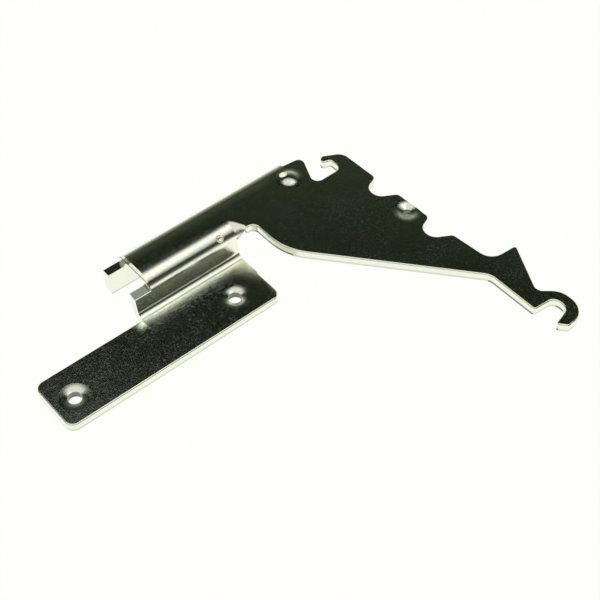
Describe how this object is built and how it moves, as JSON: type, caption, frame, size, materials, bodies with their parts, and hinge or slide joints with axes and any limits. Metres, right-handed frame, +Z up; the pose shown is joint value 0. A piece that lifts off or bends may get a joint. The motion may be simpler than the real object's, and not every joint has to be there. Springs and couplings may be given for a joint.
{
  "type": "dishwasher door hinge",
  "caption": "Folded sheet-steel door hinge: screw plate, short channel and long notched arm with an open pivot hook and a spring hook.",
  "frame": {"origin": "midway between the two screw holes, on the underside of the screw plate", "axes": "+X along the screw plate towards the arm, +Y from the plate towards the channel's back wall, +Z up, out of the plate's visible face"},
  "size_m": [0.146, 0.1154, 0.0158],
  "materials": {
    "zinc_steel": "bright zinc plate, smooth and glossy with fine orange peel"
  },
  "bodies": {
    "root": {"hinge_arm": "zinc_steel"}
  },
  "joints": []
}
